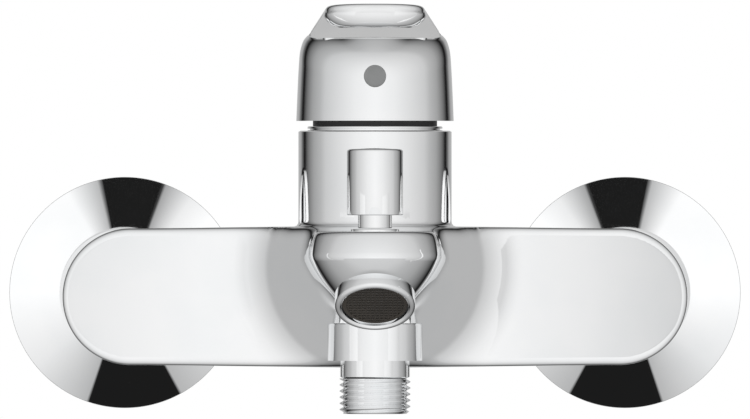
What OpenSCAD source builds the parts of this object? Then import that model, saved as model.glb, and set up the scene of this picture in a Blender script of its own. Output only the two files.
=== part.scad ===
// Wall-mounted single-lever bath mixer with pull-up diverter and shower outlet.
// Millimetres. The wall is the plane y = 0, the front faces -Y and Z is up.
// The origin lies on the wall, midway between the two inlet axes.

/* [Wall connections] */
// Distance between the two inlet axes
inlet_spacing = 150; // [142:0.5:160]
// How far each eccentric union puts its wall thread below the inlet axis
union_offset = 7.5; // [4:0.5:7.5]
// Length of the male thread that goes into the wall
wall_thread_length = 18; // [12:1:26]
// Crest radius of the half inch pipe thread
half_inch_r = 10.4775; // [10.3:0.0025:10.5]
// Crest radius of the three quarter inch pipe thread
three_quarter_r = 13.2205; // [13.1:0.0005:13.3]
// Pitch of both pipe threads
thread_pitch = 1.814; // [1.6:0.002:1.9]
// Radius of the waterway through each wall thread
union_bore_r = 6.5; // [5:0.25:7.5]
// Distance from the wall to the front end of each union
union_reach = 20; // [19.5:0.1:21]
// Width across the flats of the union nut
nut_flats = 30; // [29.5:0.5:32]
// Outer radius of the rosette
rosette_r = 34.65; // [32:0.05:38]
// Height of the rosette's cone above the wall
rosette_depth = 13.2; // [11:0.2:14]
// Sheet thickness of the rosette
rosette_wall = 1.2; // [0.8:0.1:2]

/* [Body] */
// Distance from the wall to the back of the body's wings
body_back = 33; // [32:0.5:34]
// Front to back depth of the wings
wing_depth = 27; // [26:0.5:30]
// Half of the wings' height, which is also the radius of their ends
wing_r = 20.3; // [19.5:0.1:22]
// Height of the wings' centre line, measured from the inlet axes
wing_z = -1; // [-1.5:0.1:-0.5]
// How far each wing reaches past its inlet axis
wing_overhang = 17.9; // [17:0.1:20]
// Radius of the round boss behind each wing
boss_r = 19; // [18.5:0.1:19.5]
// Radius of the waterways inside the wings
channel_r = 5.5; // [4.5:0.1:5.8]
// Wall thickness of the hollow wings
wing_wall = 5; // [4:0.5:8]

/* [Cartridge housing] */
// Distance from the wall to the cartridge axis
cartridge_y = 57; // [56:0.5:58]
// Outer radius of the round cartridge housing
hub_r = 22.75; // [22.25:0.05:23.1]
// Height of the housing's top rim
hub_top = 48.3; // [47.5:0.1:49]
// Height of the floor that the cartridge stands on
chamber_floor = 13; // [12:0.1:14]
// Outer radius of the cartridge
cartridge_r = 17.5; // [17:0.1:18]
// Height of the shoulder that the cartridge nut presses on, above the floor
shoulder_height = 25; // [24.6:0.1:25.4]
// Height of the tilt axis above the floor
pivot_height = 30; // [29.5:0.1:30.5]
// Length of the spindle's lower arm, from the pivot to its ball
lower_arm = 11; // [10.5:0.1:11.2]
// Angle through which the lever lifts
lift_angle = 25; // [20:0.5:25]

/* [Spout] */
// Distance from the wall to the spout's nose
spout_reach = 165; // [160:0.5:190]
// Height of the spout's top face
spout_top = 18.5; // [17.5:0.1:19]
// Height of the nose, where the top face meets the slanted lower face
nose_z = 10.2; // [9.5:0.1:11]
// Width of the spout across its nose
nose_w = 36.3; // [34:0.1:40]
// Angle of the aerator axis from the vertical
aerator_tilt = 35; // [30:1:40]
// Distance from the nose back to the middle of the aerator's base
aerator_inset = 13.2; // [12.5:0.1:14.5]
// Height of the nose above the middle of the aerator's base
aerator_drop = 10.5; // [9.5:0.1:11]
// Outer radius of the aerator's collar
aerator_r = 11.8; // [11.6:0.05:12.2]
// Height of the aerator's collar
aerator_collar = 4.5; // [3.5:0.1:6]
// Radius of the aerator's mesh opening
mesh_r = 9.75; // [9:0.05:10]

/* [Diverter and shower outlet] */
// Distance from the wall to the axis of the diverter and the shower outlet
diverter_y = 93; // [92:0.5:96]
// Radius of the pull knob
knob_r = 8.3; // [7.5:0.1:9]
// Height of the pull knob
knob_height = 20; // [16:0.5:24]
// Height of the knob's lower edge when it is pushed down
knob_bottom = 23.2; // [22:0.1:25]
// Radius of the fixed neck that shows below the knob
gland_neck_r = 5.05; // [4.7:0.05:5.6]
// Stroke of the diverter
diverter_stroke = 6.9; // [6.5:0.1:7.1]
// Radius of the round collar above the shower outlet
collar_r = 14; // [13:0.1:15]
// Height of the collar's lower face
collar_bottom = -19.7; // [-21:0.1:-19]
// Height of the smooth neck below the collar
outlet_neck = 5.3; // [4:0.1:8]
// Length of the shower outlet's thread
outlet_thread_length = 10.4; // [8:0.1:14]

/* [Lever] */
// Outer radius of the lever's cap at its lower rim
cap_r = 23.4; // [23.2:0.05:25]
// Height of the cap's lower rim
cap_bottom = 51.2; // [50.8:0.1:52]
// Height of the cap's crown
cap_top = 78.4; // [76:0.1:80]
// Distance from the wall to the tip of the lever
lever_reach = 142; // [130:0.5:160]
// Height of the lever's tip
lever_tip_top = 85.3; // [83:0.1:90]
// Thickness of the lever at its tip
lever_tip_thick = 2.2; // [2:0.1:4]
// Width of the lever at its tip
lever_tip_w = 29.6; // [26:0.1:34]
// Width of the lever at its root
lever_root_w = 39.6; // [34:0.1:40]
// Height of the grub screw and of the plug in front of it
screw_z = 64.4; // [64:0.1:65]
// Radius of the indicator plug
plug_r = 3.3; // [3:0.1:3.6]

/* [Fits] */
// Radial clearance of shafts that turn or slide
running = 0.06; // [0.03:0.01:0.08]
// Gap between parts that are put together and don't move
seat_gap = 0.1; // [0.05:0.01:0.15]

/* [Hidden] */
$fn = 64;
HULL_FN = 32;
EPS = 0.01;

// Wall side, as distances from the wall
inlet_x = inlet_spacing / 2;
thread_depth = 0.64 * thread_pitch;
thread_flat = 0.3;
nut_gap = 0.2;
washer_thick = 2;
spigot_end = union_reach + washer_thick;
boss_back = body_back - 5;
spigot_r = 11.05;
ring_at = spigot_end + 0.8;
ring_thick = 1;
ring_r = 12.3;
groove_r = 10.2;
lip_at = ring_at + ring_thick + 0.8;
nut_bore_r = three_quarter_r + seat_gap;
nut_back = rosette_depth + nut_gap;
rosette_front_r = 17.9;
rosette_rim = 0.8;
valve_end_gap = 0.4;
inlet_valve_r = 8.7;
inlet_bore_r = inlet_valve_r + seat_gap;
inlet_union_bore_r = 8.5;

// Body
wing_arc_x = inlet_x + wing_overhang - wing_r;
wing_front = body_back + wing_depth;
wing_edge = 1.2;
channel_y = body_back + wing_depth - channel_r - 1.5;
channel_z = -2;
gallery_r = 3.2;
gallery_z = 0;
port_x = 7.2;
port_y = 3.5;
port_r = 2.8;
outlet_port_y = 7;
outlet_port_r = 3.4;
mound_r = 28;
mound_flat = 5.9;
mound_sink = 8.9;
mound_centre = wing_front - mound_sink;
mound_z = 8;
spout_shoulder_w = 16.75;
spout_keel_w = 12.3;
spout_keel_z = 0.7;
aerator_y = spout_reach - aerator_inset;
aerator_z = nose_z - aerator_drop;
aerator_thread_r = aerator_r - 0.9;
aerator_socket = 4.7;
aerator_sleeve = 3.8;

// Cartridge
chamber_r = cartridge_r + 0.2;
base_thick = 4;
fixed_disc_thick = 4.5;
moving_disc_thick = 4.5;
driver_height = 7.5;
turret_flange = 2;
roof_thick = 2;
cartridge_inner_r = cartridge_r - 2.3;
base_top = chamber_floor + base_thick;
fixed_disc_top = base_top + fixed_disc_thick;
moving_disc_top = fixed_disc_top + moving_disc_thick;
driver_top = moving_disc_top + driver_height;
shoulder_z = chamber_floor + shoulder_height;
turret_flange_z = shoulder_z - roof_thick - turret_flange - 0.1;
pivot_z = chamber_floor + pivot_height;
ball_z = pivot_z - lower_arm;
neck_height = 11;
neck_top = pivot_z + neck_height;
neck_r = cartridge_r - 3.9;
turret_r = cartridge_r - 6;
turret_flange_r = turret_r + 2.7;
bar_w = 6.4;
arm_r = 2.4;
ball_r = 3.4;
socket_r = 3.8;
pin_r = 1.5;
bar_top = screw_z + 6.6;
nut_counterbore_r = 20.2;
nut_top = hub_top - 1.3;
cover_top = hub_top + 1.3;
cover_r = nut_counterbore_r - 0.15;
limiter_r = 18.45;
limiter_top = neck_top + 0.4;
disc_shift = 2.6;
moving_disc_r = cartridge_inner_r - 3.2;
driver_r = moving_disc_r - 2.5;
pocket_r = moving_disc_r / 2;
lobe_r = 3.2;
lobe_x = 5.5;

// Lever
cap_wall = 2.6;
cap_ceiling = screw_z - 3.4;
// How far up the cap each ring of its outline lies, and how far in the wall has drawn by then
cap_taper = [[0, 0], [0.25, 0.3], [0.5, 0.6], [0.67, 1], [0.78, 1.4], [0.85, 1.9],
    [0.94, 2.7], [0.975, 4], [1, 6.4]];
blade_root_z = cap_top - 1.7;
blade_rise = atan((lever_tip_top - lever_tip_thick - blade_root_z) / (lever_reach - cartridge_y));
blade_root_thick = 2.6;
scoop_slope = 17;
scoop_neck_r = 14.2;
lift_gap = 0.5;
socket_gap = 0.05;
screw_r = 2.5;
plug_thick = 1.5;

// Diverter and outlet
upper_seat_z = 6.4;
valve_r = 7.6;
valve_thick = 3.5;
valve_z = upper_seat_z - diverter_stroke - valve_thick;
seat_top = valve_z - 0.05;
mid_chamber_r = 8.6;
seat_sleeve_r = mid_chamber_r - 0.2;
shank_r = 10;
shank_top = -10.3;
lower_seat_r = 5.5;
upper_seat_r = 5.2;
upper_bore_r = 6.95;
gland_bottom = upper_seat_z + 6.1;
gland_flange_r = 7.15;
gland_flange_top = spout_top + 0.8;
gland_neck_top = knob_bottom + 6.8;
stem_r = 2.5;
stem_top = knob_bottom + knob_height - 2.2;
knob_cavity_top = gland_neck_top + 0.4;
oring_r = 0.75;
oring_z = gland_neck_top - 4;
outlet_end = collar_bottom - outlet_neck - outlet_thread_length;
outlet_valve_r = 7.3;
outlet_bore_r = outlet_valve_r + seat_gap;
outlet_neck_r = half_inch_r - 0.2;

// Check valves
valve_length = 15.6;
valve_wall = 1.4;
valve_seat_at = 2;
valve_seat_thick = 2;
poppet_thick = 2.4;
poppet_stem_r = 1.5;
poppet_stem_length = 7.4;
guide_at = 11.6;
guide_thick = 2;
coil_r = 4;

// A place in front of the wall: local z runs from the wall to the front
module from_wall(x, z = 0) {
    translate([x, 0, z]) rotate([90, 0, 0]) children();
}

// The aerator's place: local z points out of the spout
module at_aerator() {
    translate([0, -aerator_y, aerator_z]) rotate([180 - aerator_tilt, 0, 0]) children();
}

module at_cartridge(z = 0) {
    translate([0, -cartridge_y, z]) children();
}

module at_diverter(z = 0) {
    translate([0, -diverter_y, z]) children();
}

// The check valve's place in the shower outlet: local z runs with the water, downwards
module at_outlet_valve() {
    at_diverter(outlet_end + valve_end_gap + valve_length) rotate([180, 0, 0]) children();
}

module tube(outer, inner, low, high) {
    translate([0, 0, low]) linear_extrude(high - low) difference() {
        circle(outer);
        circle(inner);
    }
}

module rod(r, low, high) {
    translate([0, 0, low]) cylinder(r = r, h = high - low);
}

// Cuts the grooves of a male thread between two crests
module thread_cuts(r, low, high) {
    turns = floor((high - low - thread_flat) / thread_pitch);
    step = (high - low - thread_flat) / turns;
    for (i = [0 : turns - 1])
        translate([0, 0, low + thread_flat + i * step])
            rotate_extrude() polygon([
                [r + 0.5, -0.01], [r, 0], [r - thread_depth, (step - thread_flat) / 2],
                [r, step - thread_flat], [r + 0.5, step - thread_flat + 0.01]]);
}

module threaded_rod(r, low, high) {
    difference() {
        rod(r, low, high);
        thread_cuts(r, low, high);
    }
}

// Closed helix of wire: rings of points swept along the coil
function coil_ring(centre_r, wire_r, angle, z, sides) = [for (k = [0 : sides - 1])
    let (a = 360 * k / sides, rr = centre_r + wire_r * cos(a))
    [rr * cos(angle), rr * sin(angle), z + wire_r * sin(a)]];

module coil_spring(centre_r, wire_r, low, high, turns) {
    sides = 6;
    steps = 12 * turns;
    z0 = low + wire_r + 0.02;
    rise = high - low - 2 * wire_r - 0.04;
    points = [for (i = [0 : steps])
        each coil_ring(centre_r, wire_r, 360 * turns * i / steps, z0 + rise * i / steps, sides)];
    walls = [for (i = [0 : steps - 1], k = [0 : sides - 1])
        let (a = i * sides + k, b = i * sides + (k + 1) % sides)
        each [[a, a + sides, b + sides], [a, b + sides, b]]];
    caps = [[for (k = [0 : sides - 1]) k],
        [for (k = [sides - 1 : -1 : 0]) steps * sides + k]];
    polyhedron(points, concat(walls, caps), convexity = 6);
}

// Check valve, with the water entering at z = 0: a tube with a seat and a guide
module check_housing(r) {
    color("gainsboro") {
        tube(r, r - valve_wall, 0, valve_length);
        tube(r - valve_wall + EPS, r - 3.2, valve_seat_at, valve_seat_at + valve_seat_thick);
        tube(poppet_stem_r + 1.4, poppet_stem_r + running, guide_at, guide_at + guide_thick);
        for (a = [0 : 120 : 240]) rotate(a)
            translate([poppet_stem_r + 1, -0.8, guide_at])
                cube([r - valve_wall - poppet_stem_r - 0.9, 1.6, guide_thick]);
    }
}

module check_poppet(r) {
    seat = valve_seat_at + valve_seat_thick + 0.05;
    color("dimgray") {
        rod(r - 2.2, seat, seat + poppet_thick);
        rod(poppet_stem_r, seat + poppet_thick - EPS, seat + poppet_thick + poppet_stem_length);
    }
}

module check_spring() {
    color("silver")
        coil_spring(coil_r - 1.2, 0.3, valve_seat_at + valve_seat_thick + 0.05 + poppet_thick,
            guide_at, 4);
}

module wing_half_profile() {
    polygon([[0, 0], [wing_r, 0], [wing_r, wing_depth - wing_edge],
        [wing_r - wing_edge, wing_depth], [0, wing_depth]]);
}

// The two wings: a long bar with half round ends and a chamfered front edge
module wings() {
    translate([0, -body_back, wing_z]) rotate([90, 0, 0]) {
        for (side = [0, 180]) rotate(side)
            translate([wing_arc_x, 0, 0]) rotate(-90) rotate_extrude(angle = 180)
                wing_half_profile();
        rotate([90, 0, 90]) translate([0, 0, -wing_arc_x]) linear_extrude(2 * wing_arc_x)
            for (flip = [0, 1]) mirror([flip, 0, 0]) wing_half_profile();
    }
}

// Slice of the spout as seen from the front
module spout_slice(y, top, inset = 0) {
    shoulder = spout_shoulder_w - inset;
    side = nose_w / 2 - inset;
    keel = spout_keel_w - inset;
    keel_bottom = spout_keel_z - 7.5 + inset;
    translate([0, -y, 0]) rotate([90, 0, 0]) linear_extrude(0.5)
        polygon([[shoulder, top], [side, nose_z], [keel, spout_keel_z], [keel - 4, keel_bottom],
            [4 - keel, keel_bottom], [-keel, spout_keel_z], [-side, nose_z], [-shoulder, top]]);
}

// The domed shoulder that carries the spout on the front of the wings
module spout_root() {
    steep = 60;
    flare = 9;
    lip = [mound_flat + mound_r * sin(steep), mound_centre + mound_r * cos(steep)];
    intersection() {
        from_wall(0, mound_z) rotate_extrude() polygon(concat(
            [[0, body_back + 1], [0, mound_centre + mound_r]],
            [for (a = [0 : 10 : steep])
                [mound_flat + mound_r * sin(a), mound_centre + mound_r * cos(a)]],
            [[lip.x + flare / 4, (lip.y * 2 + wing_front) / 3],
                [lip.x + flare / 2, (lip.y + 4 * wing_front) / 5],
                [lip.x + flare, wing_front], [lip.x + flare, body_back + 1]]));
        translate([-inlet_x, -spout_reach, wing_z - wing_r])
            cube([2 * inlet_x, spout_reach, spout_top - 0.2 - wing_z + wing_r]);
    }
}

// The spout: its nose is half round in plan, leans back towards its top and narrows below
// to the aerator
module spout_shell() {
    root_y = mound_centre + mound_r - 6;
    nose_r = nose_w / 2;
    top_r = nose_r - 0.5;
    lean = 3.3;
    hull() {
        spout_slice(root_y, spout_top);
        translate([0, nose_r - spout_reach, nose_z - 0.8])
            cylinder(r = nose_r, h = 0.8, $fn = HULL_FN);
        translate([0, top_r + lean - spout_reach, spout_top - 0.5])
            cylinder(r = top_r, h = 0.5, $fn = HULL_FN);
        at_aerator() translate([0, 0, -0.5]) cylinder(r = aerator_r + 0.5, h = 0.5, $fn = HULL_FN);
    }
}

// The collar over the shower outlet, which flares into the underside of the spout
module outlet_collar() {
    flare = 4.5;
    straight = 10.5;
    flare_low = collar_bottom + straight;
    at_diverter() rotate_extrude() polygon(concat(
        [[0, collar_bottom], [collar_r, collar_bottom]],
        [for (a = [0 : 15 : 75]) [collar_r + flare * (1 - cos(a)), flare_low + flare * sin(a)]],
        [[collar_r + flare, flare_low + flare + 1.5], [0, flare_low + flare + 1.5]]));
}

// The round cartridge housing, which tapers away inside the mound
module cartridge_hub() {
    taper_top = 4;
    taper_end = -12;
    at_cartridge() rotate_extrude() polygon([[0, taper_end], [hub_r / 2, taper_end],
        [hub_r, taper_top], [hub_r, hub_top], [0, hub_top]]);
}

module inlet_boss() {
    difference() {
        union() {
            rod(boss_r, boss_back, body_back + 3);
            rod(spigot_r, spigot_end, boss_back + EPS);
        }
        tube(spigot_r + 1, groove_r, ring_at - seat_gap, ring_at + ring_thick + seat_gap);
    }
}

module inlet_bores() {
    valve_seat_end = spigot_end + valve_end_gap + valve_length;
    rod(inlet_bore_r, spigot_end - 1, valve_seat_end);
    rod(inlet_valve_r - valve_wall, valve_seat_end - EPS, channel_y);
}

// The hollow that the casting core leaves in each wing, with rounded edges
module wing_cores() {
    rounding = 4;
    core_in = hub_r + 1;
    core_out = inlet_x - inlet_bore_r - wing_wall;
    depth = wing_depth - 2 * wing_wall;
    height = 2 * (wing_r - wing_wall);
    for (side = [-1, 1])
        translate([side * (core_in + core_out) / 2, -body_back - wing_depth / 2, wing_z])
            rotate([90, 0, 90]) linear_extrude(core_out - core_in, center = true) {
                square([depth - 2 * rounding, height], center = true);
                square([depth, height - 2 * rounding], center = true);
                for (u = [-1, 1], v = [-1, 1])
                    translate([u * (depth / 2 - rounding), v * (height / 2 - rounding)])
                        circle(rounding);
            }
}

module body_waterways() {
    wing_cores();
    for (side = [-1, 1]) {
        from_wall(side * inlet_x) inlet_bores();
        translate([side * 5, -channel_y, channel_z]) rotate([0, side * 90, 0])
            cylinder(r = channel_r, h = inlet_x);
        translate([side * port_x, -cartridge_y - port_y, channel_z])
            cylinder(r = port_r, h = chamber_floor - channel_z + 1);
        translate([side * port_x, -channel_y, channel_z]) rotate([90, 0, 0])
            cylinder(r = port_r, h = cartridge_y + port_y - channel_y);
    }
    translate([0, -cartridge_y + outlet_port_y, gallery_z])
        cylinder(r = outlet_port_r, h = chamber_floor - gallery_z + 1);
    translate([0, -cartridge_y + outlet_port_y, gallery_z]) rotate([90, 0, 0])
        cylinder(r = gallery_r, h = diverter_y - cartridge_y + outlet_port_y - 5);
}

module diverter_waterways() {
    at_diverter() {
        rod(shank_r + seat_gap, collar_bottom - 1, shank_top);
        rod(mid_chamber_r, shank_top - EPS, upper_seat_z);
        rod(upper_seat_r, upper_seat_z - EPS, upper_seat_z + 2);
        rod(upper_bore_r, upper_seat_z + 1.6, spout_top + 3);
        rod(gland_flange_r + seat_gap, spout_top, spout_top + 3);
    }
    start = [0, -diverter_y - 4, upper_seat_z + 5.3];
    end = [0, -aerator_y + 3, aerator_z + 4.8];
    run = end - start;
    translate(start) rotate([atan2(-run.y, run.z), 0, 0]) cylinder(r = 3.8, h = norm(run));
    at_aerator() {
        rod(aerator_thread_r + seat_gap, -aerator_socket, 1);
        rod(aerator_thread_r - 2.9, -aerator_socket - 2.3, 0);
        rod(nose_w * 0.75, 0, aerator_collar);
    }
}

module body() {
    color("silver") difference() {
        union() {
            wings();
            for (side = [-1, 1]) from_wall(side * inlet_x) inlet_boss();
            cartridge_hub();
            spout_root();
            spout_shell();
            outlet_collar();
        }
        at_cartridge() {
            rod(chamber_r, chamber_floor, shoulder_z);
            rod(nut_counterbore_r, shoulder_z - EPS, hub_top + 1);
        }
        body_waterways();
        diverter_waterways();
    }
}

module rosette(side) {
    sleeve_r = nut_bore_r;
    sleeve_wall = 1.3;
    sleeve_back = 5;
    color("silver") from_wall(side * inlet_x) rotate_extrude() polygon([
        [rosette_r, 0], [rosette_r, rosette_rim], [rosette_front_r + 0.3, rosette_depth],
        [sleeve_r, rosette_depth], [sleeve_r, sleeve_back], [sleeve_r + sleeve_wall, sleeve_back],
        [sleeve_r + sleeve_wall, rosette_depth - rosette_wall],
        [rosette_front_r - 0.3, rosette_depth - rosette_wall],
        [rosette_r - 2 * rosette_wall, 0]]);
}

// Eccentric union: half inch thread in the wall, three quarter inch thread to the nut
module wall_union(side) {
    runout = 1;
    wall_gap = 0.5;
    overlap_front = 4;
    color("darkkhaki") difference() {
        union() {
            from_wall(side * inlet_x, -union_offset) {
                threaded_rod(half_inch_r, -wall_thread_length, -runout);
                rod(half_inch_r - thread_depth / 2, -runout - EPS, overlap_front);
            }
            from_wall(side * inlet_x) {
                rod(three_quarter_r, wall_gap, rosette_depth + nut_gap);
                threaded_rod(three_quarter_r, rosette_depth + nut_gap, union_reach);
            }
        }
        from_wall(side * inlet_x, -union_offset)
            rod(union_bore_r, -wall_thread_length - 1, overlap_front - 1);
        from_wall(side * inlet_x) rod(inlet_union_bore_r, 1, union_reach + 1);
    }
}

module union_nut(side) {
    corner_r = nut_flats / 2 / cos(30);
    chamfer = corner_r - nut_flats / 2;
    color("silver") from_wall(side * inlet_x) difference() {
        intersection() {
            translate([0, 0, nut_back])
                cylinder(r = corner_r, h = boss_back - seat_gap * 2 - nut_back, $fn = 6);
            rotate_extrude() polygon([[0, nut_back], [corner_r - chamfer, nut_back],
                [corner_r, nut_back + chamfer / 2],
                [corner_r, boss_back - chamfer / 2], [corner_r - chamfer, boss_back],
                [0, boss_back]]);
        }
        rod(nut_bore_r, nut_back - 1, lip_at);
        rod(spigot_r + seat_gap, lip_at - EPS, boss_back + 1);
    }
}

module inlet_washer(side) {
    color("black") from_wall(side * inlet_x)
        tube(spigot_r + 1, inlet_union_bore_r + 0.1, union_reach, spigot_end);
}

module retaining_ring(side) {
    opening = 5;
    color("dimgray") from_wall(side * inlet_x) difference() {
        tube(ring_r, groove_r + 0.05, ring_at, ring_at + ring_thick);
        translate([-opening / 2, -ring_r - 1, ring_at - 1]) cube([opening, 6, ring_thick + 2]);
    }
}

module inlet_valve_place(side) {
    from_wall(side * inlet_x) translate([0, 0, spigot_end + valve_end_gap]) children();
}

// Cartridge, from its base upwards
module cartridge_base() {
    seal_depth = 1.5;
    color("white") at_cartridge() difference() {
        rod(cartridge_r, chamber_floor, base_top - 0.02);
        for (side = [-1, 1]) translate([side * port_x, -port_y, 0]) {
            rod(port_r - 0.3, chamber_floor - 1, base_top + 1);
            rod(port_r + 2, chamber_floor - 1, chamber_floor + seal_depth);
        }
        translate([0, outlet_port_y, 0]) {
            rod(outlet_port_r - 0.3, chamber_floor - 1, base_top + 1);
            rod(outlet_port_r + 2, chamber_floor - 1, chamber_floor + seal_depth);
        }
    }
}

module cartridge_seals() {
    color("black") at_cartridge() {
        for (side = [-1, 1]) translate([side * port_x, -port_y, 0])
            tube(port_r + 1.95, port_r + 0.4, chamber_floor + 0.02, chamber_floor + 1.45);
        translate([0, outlet_port_y, 0])
            tube(outlet_port_r + 1.95, outlet_port_r + 0.4, chamber_floor + 0.02,
                chamber_floor + 1.45);
    }
}

module fixed_ceramic_disc() {
    color("white") at_cartridge() difference() {
        rod(cartridge_inner_r - 0.1, base_top, fixed_disc_top);
        for (side = [-1, 1]) translate([side * port_x, -port_y, 0])
            rod(port_r - 0.5, base_top - 1, fixed_disc_top + 1);
        translate([0, outlet_port_y, 0]) rod(outlet_port_r - 0.3, base_top - 1, fixed_disc_top + 1);
    }
}

// The pocket below the moving disc joins both inlets to the outlet when the lever is up
module moving_ceramic_disc() {
    pocket_top = fixed_disc_top + 2.6;
    color("whitesmoke") at_cartridge() difference() {
        translate([0, disc_shift, 0]) rod(moving_disc_r, fixed_disc_top + 0.02, moving_disc_top);
        translate([0, outlet_port_y - 1, 0]) rod(pocket_r, fixed_disc_top - 1, pocket_top);
        for (side = [-1, 1]) translate([side * lobe_x, outlet_port_y - 2.4, 0])
            rod(lobe_r, fixed_disc_top - 1, pocket_top);
    }
}

module disc_driver() {
    color("gainsboro") at_cartridge() difference() {
        translate([0, disc_shift - 0.6, 0]) rod(driver_r, moving_disc_top, driver_top);
        rod(socket_r, ball_z - ball_r - 0.4, driver_top + 1);
    }
}

module cartridge_housing() {
    color("white") at_cartridge() rotate_extrude() polygon([
        [cartridge_inner_r, base_top], [cartridge_r, base_top], [cartridge_r, shoulder_z],
        [neck_r, shoulder_z], [neck_r, neck_top], [turret_r + running, neck_top],
        [turret_r + running, shoulder_z - roof_thick], [cartridge_inner_r, shoulder_z - roof_thick]]);
}

module cartridge_turret() {
    slot_front = 8.7;
    slot_back = 9.2;
    slot_w = 2 * ball_r + 0.2;
    color("gainsboro") at_cartridge() difference() {
        union() {
            rod(turret_flange_r, turret_flange_z, turret_flange_z + turret_flange);
            rod(turret_r, turret_flange_z, neck_top + 0.5);
        }
        translate([-slot_w / 2, -slot_front, turret_flange_z - 1])
            cube([slot_w, slot_front + slot_back, neck_top - turret_flange_z + 3]);
        translate([-turret_r - 1, 0, pivot_z]) rotate([0, 90, 0])
            cylinder(r = pin_r + 0.02, h = 2 * turret_r + 2);
    }
}

module pivot_pin() {
    half = turret_r - 0.4;
    color("silver") at_cartridge(pivot_z) translate([-half, 0, 0]) rotate([0, 90, 0])
        cylinder(r = pin_r, h = 2 * half);
}

module lever_spindle() {
    arm_top = pivot_z - 3.4;
    color("gold") at_cartridge() difference() {
        union() {
            translate([0, 0, ball_z]) sphere(ball_r);
            rod(arm_r, ball_z, arm_top + EPS);
            translate([-bar_w / 2, -bar_w / 2, arm_top]) cube([bar_w, bar_w, bar_top - arm_top]);
        }
        translate([-bar_w, 0, pivot_z]) rotate([0, 90, 0])
            cylinder(r = pin_r + running, h = 2 * bar_w);
    }
}

module cartridge_nut() {
    slot_w = 3;
    color("darkkhaki") at_cartridge() difference() {
        tube(nut_counterbore_r - seat_gap, neck_r + 0.3, shoulder_z + 0.02, nut_top);
        for (a = [0 : 90 : 270]) rotate(a + 45)
            translate([neck_r + 3, -slot_w / 2, nut_top - 2.5])
                cube([nut_counterbore_r, slot_w, 3]);
    }
}

module cover_ring() {
    groove_z = cover_top - 1;
    color("silver") at_cartridge() difference() {
        tube(cover_r, limiter_r + 0.1, nut_top + 0.02, cover_top);
        tube(cover_r + 1, cover_r - 0.4, groove_z, groove_z + 0.3);
    }
}

module limiter_ring() {
    inner_r = neck_r + 0.3;
    color("black") at_cartridge() rotate_extrude() polygon([
        [inner_r, nut_top + 0.02], [limiter_r, nut_top + 0.02], [limiter_r, limiter_top - 2.8],
        [limiter_r - 0.7, limiter_top - 1.4], [limiter_r - 2.4, limiter_top],
        [inner_r, limiter_top]]);
}

// Lever: the cap over the cartridge and the blade that rises towards the user
function cap_outline(r) =
    [for (p = cap_taper) [r - p.y, cap_bottom + p.x * (cap_top - cap_bottom)]];

module lever_blade() {
    nose_depth = 8;
    length = (lever_reach - cartridge_y) / cos(blade_rise);
    translate([0, -cartridge_y, blade_root_z]) rotate([-blade_rise, 0, 0]) hull() {
        cylinder(r = lever_root_w / 2, h = blade_root_thick, $fn = HULL_FN);
        translate([0, nose_depth - length, 0]) scale([lever_tip_w / 2 / nose_depth, 1, 1])
            cylinder(r = nose_depth, h = lever_tip_thick, $fn = HULL_FN);
    }
}

// The hollow for a fingertip: a wedge between the cap's front and the blade, round a neck
module finger_scoop() {
    apex_y = cartridge_y + 8;
    apex_z = blade_root_z + 8 * tan(blade_rise);
    front_y = cartridge_y + cap_r + 4;
    difference() {
        rotate([90, 0, 90]) linear_extrude(2 * cap_r + 2, center = true) polygon([
            [-apex_y, apex_z], [-apex_y, cap_top + 1], [-front_y, cap_top + 1],
            [-front_y, apex_z - (front_y - apex_y) * tan(scoop_slope)]]);
        at_cartridge() rod(scoop_neck_r, cap_bottom, cap_top + 3);
    }
}

module lever() {
    front_r = cap_r - 0.6;
    color("silver") difference() {
        union() {
            difference() {
                at_cartridge() rotate_extrude()
                    polygon(concat([[0, cap_bottom]], cap_outline(cap_r), [[0, cap_top]]));
                finger_scoop();
            }
            lever_blade();
        }
        at_cartridge() {
            rod(cap_r - cap_wall, cap_bottom - 1, cap_ceiling);
            translate([-bar_w / 2 - socket_gap, -bar_w / 2 - socket_gap, cap_ceiling - 1])
                cube([bar_w + 2 * socket_gap, bar_w + 2 * socket_gap,
                    bar_top + 0.2 - cap_ceiling + 1]);
            translate([0, 0, screw_z]) rotate([90, 0, 0]) {
                rod(screw_r + socket_gap, 0, cap_r + 1);
                rod(plug_r + socket_gap, front_r - plug_thick - 0.7, cap_r + 1);
            }
            // what would dip below the cover ring when the lever is up
            translate([0, 0, pivot_z]) rotate([lift_angle, 0, 0])
                translate([-cap_r - 1, -cap_r, cover_top + lift_gap - pivot_z - cap_r])
                    cube([2 * cap_r + 2, 3 * cap_r, cap_r]);
        }
    }
}

module lever_grub_screw() {
    tip = bar_w / 2 + 0.02;
    length = 8;
    key_flats = 2.5;
    color("dimgray") at_cartridge(screw_z) rotate([90, 0, 0]) difference() {
        rod(screw_r, tip, tip + length);
        translate([0, 0, tip + length - 2.5])
            cylinder(r = key_flats / 2 / cos(30), h = 3, $fn = 6);
    }
}

module indicator_plug() {
    face = cap_r - 0.9;
    color("gray") at_cartridge(screw_z) rotate([90, 0, 0]) {
        rod(plug_r, face - plug_thick, face);
        rod(screw_r - 0.2, face - plug_thick - 1.5, face - plug_thick + EPS);
    }
}

// Diverter
module diverter_gland() {
    color("silver") at_diverter() difference() {
        union() {
            rod(upper_bore_r - seat_gap / 2, gland_bottom, spout_top + EPS);
            rod(gland_flange_r, spout_top, gland_flange_top);
            rod(gland_neck_r, gland_flange_top - EPS, gland_neck_top);
        }
        rod(stem_r + running, gland_bottom - 1, gland_neck_top + 1);
        tube(stem_r + running + 2 * oring_r, stem_r, oring_z - oring_r - 0.05,
            oring_z + oring_r + 0.05);
    }
}

module diverter_oring() {
    color("black") at_diverter(oring_z) rotate_extrude()
        translate([stem_r + 0.03 + oring_r, 0]) circle(oring_r, $fn = HULL_FN);
}

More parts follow.
